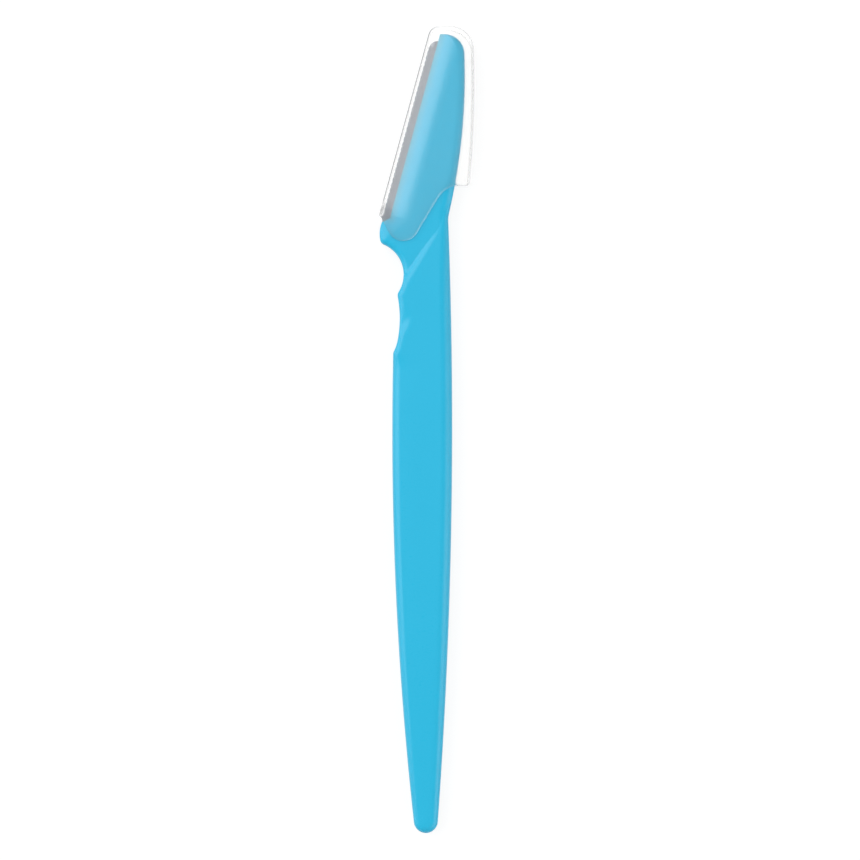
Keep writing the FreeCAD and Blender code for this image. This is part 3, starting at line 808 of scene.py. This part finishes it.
def blue_plastic():
    """Glossy sky-blue moulding: a faint cloudiness in the colour, a painted sheen as a paler blue along the
    lip, a very fine grain in the gloss, and a faint ripple along the razor."""
    material, tree, output = new_material("blue_plastic")
    cloud = node(tree, "TexNoise", Vector=object_position(tree), Scale=BLUE_CLOUD_SCALE, Detail=3.0)
    grain = node(tree, "TexNoise", Vector=object_position(tree), Scale=BLUE_GRAIN_SCALE, Detail=2.0)
    stretched = object_position(tree, BLUE_RIPPLE_STRETCH)
    ripple = node(tree, "TexNoise", Vector=stretched, Scale=BLUE_RIPPLE_SCALE)
    bump = node(
        tree, "Bump",
        Strength=BLUE_RIPPLE_STRENGTH,
        Distance=BLUE_RIPPLE_HEIGHT * MM,
        Height=ripple.outputs["Fac"],
    )
    clouded = blend_of(tree, cloud.outputs["Fac"], BLUE_DEEP, BLUE_LIGHT)
    shader = node(
        tree, "BsdfPrincipled",
        # painted sheen: the colour turns paler near the lip
        Base_Color=blend_of(tree, stored(tree, "lip"), clouded, BLUE_PAINTED_SHEEN_AT_LIP),
        Roughness=spread_of(tree, grain.outputs["Fac"], *BLUE_ROUGHNESS),
        Normal=bump.outputs["Normal"],
    )
    shader.inputs["IOR"].default_value = BLUE_REFRACTION
    tree.links.new(shader.outputs["BSDF"], output.inputs["Surface"])
    return material


def steel(name, colour, roughness):
    """Ground steel: fine lines along the blade in the gloss, and a faint unevenness in the colour."""
    material, tree, output = new_material(name)
    along_blade = object_position(tree, STEEL_LINE_STRETCH, LEAN)
    lines = node(tree, "TexNoise", Vector=along_blade, Scale=STEEL_LINE_SCALE, Detail=2.0)
    cloud = node(tree, "TexNoise", Vector=object_position(tree), Scale=STEEL_CLOUD_SCALE)
    dark = tuple(STEEL_DARK_SHARE * part for part in colour)
    shader = node(
        tree, "BsdfPrincipled",
        Base_Color=blend_of(tree, cloud.outputs["Fac"], dark, colour),
        Roughness=spread_of(tree, lines.outputs["Fac"], *roughness),
    )
    shader.inputs["Metallic"].default_value = 1.0
    tree.links.new(shader.outputs["BSDF"], output.inputs["Surface"])
    return material


def clear_plastic():
    """Clear glossy moulding with a faint haze in its gloss, a painted shade (a grey tint) along the edge wall
    and the top, and a painted highlight along the tongue's edge, where a little less light goes through.
    Light from lamps and from matt surfaces goes straight through, a little dimmed, and more so at the
    outline, so that what is under it is lit evenly."""
    material, tree, output = new_material("clear_plastic")
    haze = node(tree, "TexNoise", Vector=object_position(tree), Scale=CLEAR_HAZE_SCALE, Detail=3.0)
    # painted shade: grey tint near the rim
    rim = node(tree, "MapRange", Value=stored(tree, "rim"), From_Max=CLEAR_PAINTED_SHADE_FULL_SHARE).outputs["Result"]
    shader = node(
        tree, "BsdfPrincipled",
        Base_Color=blend_of(tree, rim, CLEAR_COLOUR, CLEAR_PAINTED_SHADE_AT_RIM),
        Roughness=spread_of(tree, haze.outputs["Fac"], *CLEAR_ROUGHNESS),
        # painted highlight: less light goes through at the tongue's edge, so it shows paler
        Transmission_Weight=spread_of(tree, stored(tree, "painted_edge_highlight"), 1.0, CLEAR_PASS_AT_PAINTED_HIGHLIGHT),
    )
    shader.inputs["IOR"].default_value = CLEAR_REFRACTION
    passed = blend_of(tree, stored(tree, "edge"), CLEAR_PASSES, CLEAR_PASSES_AT_EDGE)
    open_way = node(tree, "BsdfTransparent", Color=passed)
    path = node(tree, "LightPath")
    surface = shader.outputs["BSDF"]
    for ray in ("Is Diffuse Ray", "Is Shadow Ray"):
        mix = node(tree, "MixShader")
        tree.links.new(path.outputs[ray], mix.inputs[0])
        tree.links.new(surface, mix.inputs[1])
        tree.links.new(open_way.outputs["BSDF"], mix.inputs[2])
        surface = mix.outputs["Shader"]
    tree.links.new(surface, output.inputs["Surface"])
    return material


def dress(name, material):
    """Give a solid's object one material in all its slots."""
    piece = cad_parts[name]
    for slot in piece.material_slots:
        slot.material = material


# Floor, lights and camera

def seen_ray(tree):
    """1 for rays that show a surface straight, in a gloss or through something clear, 0 for the rest."""
    path = node(tree, "LightPath")
    seen = path.outputs["Is Camera Ray"]
    for ray in ("Is Glossy Ray", "Is Transmission Ray"):
        either = node(tree, "Math", {"operation": "MAXIMUM"})
        tree.links.new(seen, either.inputs[0])
        tree.links.new(path.outputs[ray], either.inputs[1])
        seen = either.outputs["Value"]
    return seen


def floor_material():
    """White matt floor, with some light of its own for what sees it, so that it reads as white. Through
    the clear cap it has a little more, which makes up for the light lost at the cap's surfaces."""
    material, tree, output = new_material("white_floor")
    matt = node(tree, "BsdfDiffuse")
    matt.inputs["Color"].default_value = FLOOR_COLOUR
    through = node(tree, "LightPath").outputs["Is Transmission Ray"]
    strength = node(tree, "Math", {"operation": "MULTIPLY"})
    tree.links.new(seen_ray(tree), strength.inputs[0])
    tree.links.new(spread_of(tree, through, FLOOR_GLOW, FLOOR_GLOW_THROUGH_CAP), strength.inputs[1])
    glow = node(tree, "Emission", Strength=strength.outputs["Value"])
    both = node(tree, "AddShader")
    tree.links.new(matt.outputs["BSDF"], both.inputs[0])
    tree.links.new(glow.outputs["Emission"], both.inputs[1])
    tree.links.new(both.outputs["Shader"], output.inputs["Surface"])
    return material


def floor():
    """A wide flat floor at the level of the razor's back."""
    mesh = bpy.data.meshes.new("floor")
    turns = ((-1, -1), (1, -1), (1, 1), (-1, 1))
    corners = [(x * FLOOR_HALF, y * FLOOR_HALF, 0.0) for x, y in turns]
    mesh.from_pydata(corners, [], [(0, 1, 2, 3)])
    mesh.materials.append(floor_material())
    link(bpy.data.objects.new("floor", mesh))


def area_light(name, place, width, height, brightness):
    """A soft light at a place, turned to the razor, of a brightness that does not depend on its size."""
    lamp = bpy.data.lights.new(name, "AREA")
    lamp.shape = "RECTANGLE"
    lamp.size = width
    lamp.size_y = height
    lamp.energy = LAMP_POWER * brightness * width * height
    holder = link(bpy.data.objects.new(name, lamp))
    holder.location = place
    holder.rotation_euler = (-Vector(place)).to_track_quat("-Z", "Y").to_euler()


def lights():
    """A broad soft light from the left, a weaker one from the right, a pale panel high above the head, a
    low strip on each side for the rounded edges, and an even surround."""
    for lamp in LAMPS:
        area_light(*lamp)
    world = bpy.data.worlds.new("surround")
    bpy.context.scene.world = world
    world.use_nodes = True
    background = world.node_tree.nodes["Background"]
    background.inputs["Color"].default_value = (1.0, 1.0, 1.0, 1.0)
    background.inputs["Strength"].default_value = SURROUND_STRENGTH


def camera():
    """A long lens straight above the razor, framed as in the photograph."""
    view_width = PHOTO_SIDE / PHOTO_PIXELS_PER_MM * MM
    data = bpy.data.cameras.new("camera")
    data.lens = LENS
    data.sensor_width = SENSOR
    data.clip_end = SIGHT
    holder = link(bpy.data.objects.new("camera", data))
    offset = [(PHOTO_SIDE / 2 - place) / PHOTO_PIXELS_PER_MM * MM for place in PHOTO_MIDDLE]
    holder.location = (offset[0], -offset[1], HALF_GRIP * MM + view_width * LENS / SENSOR)
    bpy.context.scene.camera = holder


moulding = handle()
moulding.data.materials.append(blue_plastic())
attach(moulding, "razor")
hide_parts("handle")
dress("blade", steel("blade_steel", BLADE_COLOUR, BLADE_ROUGHNESS))
dress("edge_guard", steel("guard_steel", GUARD_COLOUR, GUARD_ROUGHNESS))
sleeve = cap()
sleeve.data.materials.append(clear_plastic())
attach(sleeve, "cap")
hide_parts("cap")
floor()
lights()
camera()
bpy.context.scene.view_settings.view_transform = "Standard"
